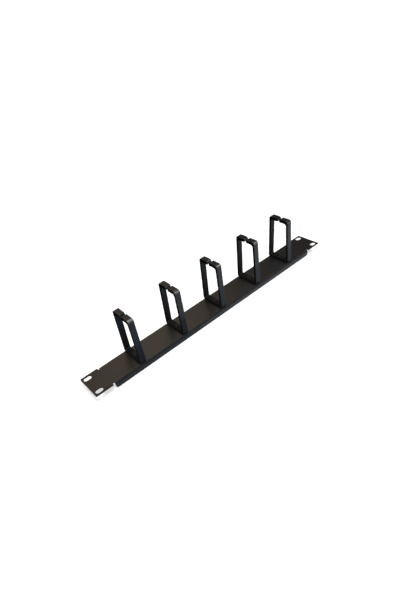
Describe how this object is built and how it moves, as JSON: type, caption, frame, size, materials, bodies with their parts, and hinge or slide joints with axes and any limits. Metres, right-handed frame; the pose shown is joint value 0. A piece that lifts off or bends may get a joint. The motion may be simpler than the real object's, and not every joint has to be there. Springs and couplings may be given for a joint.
{
  "type": "horizontal cable manager",
  "caption": "Flat black rack panel, one unit high, with folded edges, slotted ears and a row of five open moulded rings that hold cables.",
  "frame": {"origin": "centre of the four rack slots, on the rear face of the panel's ears", "axes": "+X along the panel, +Y across it, +Z out of the panel's face toward the cables"},
  "size_m": [0.4826, 0.0444, 0.0885],
  "materials": {
    "powder_coat": "black fine-textured powder coat, semi-matte",
    "ring_plastic": "black moulded plastic, satin, finely textured",
    "rivet_paint": "black, satin"
  },
  "bodies": {
    "root": {"panel": "powder_coat", "ring_1": "ring_plastic", "rivet_1": "rivet_paint", "ring_2": "ring_plastic", "rivet_2": "rivet_paint", "ring_3": "ring_plastic", "rivet_3": "rivet_paint", "ring_4": "ring_plastic", "rivet_4": "rivet_paint", "ring_5": "ring_plastic", "rivet_5": "rivet_paint"}
  },
  "joints": []
}
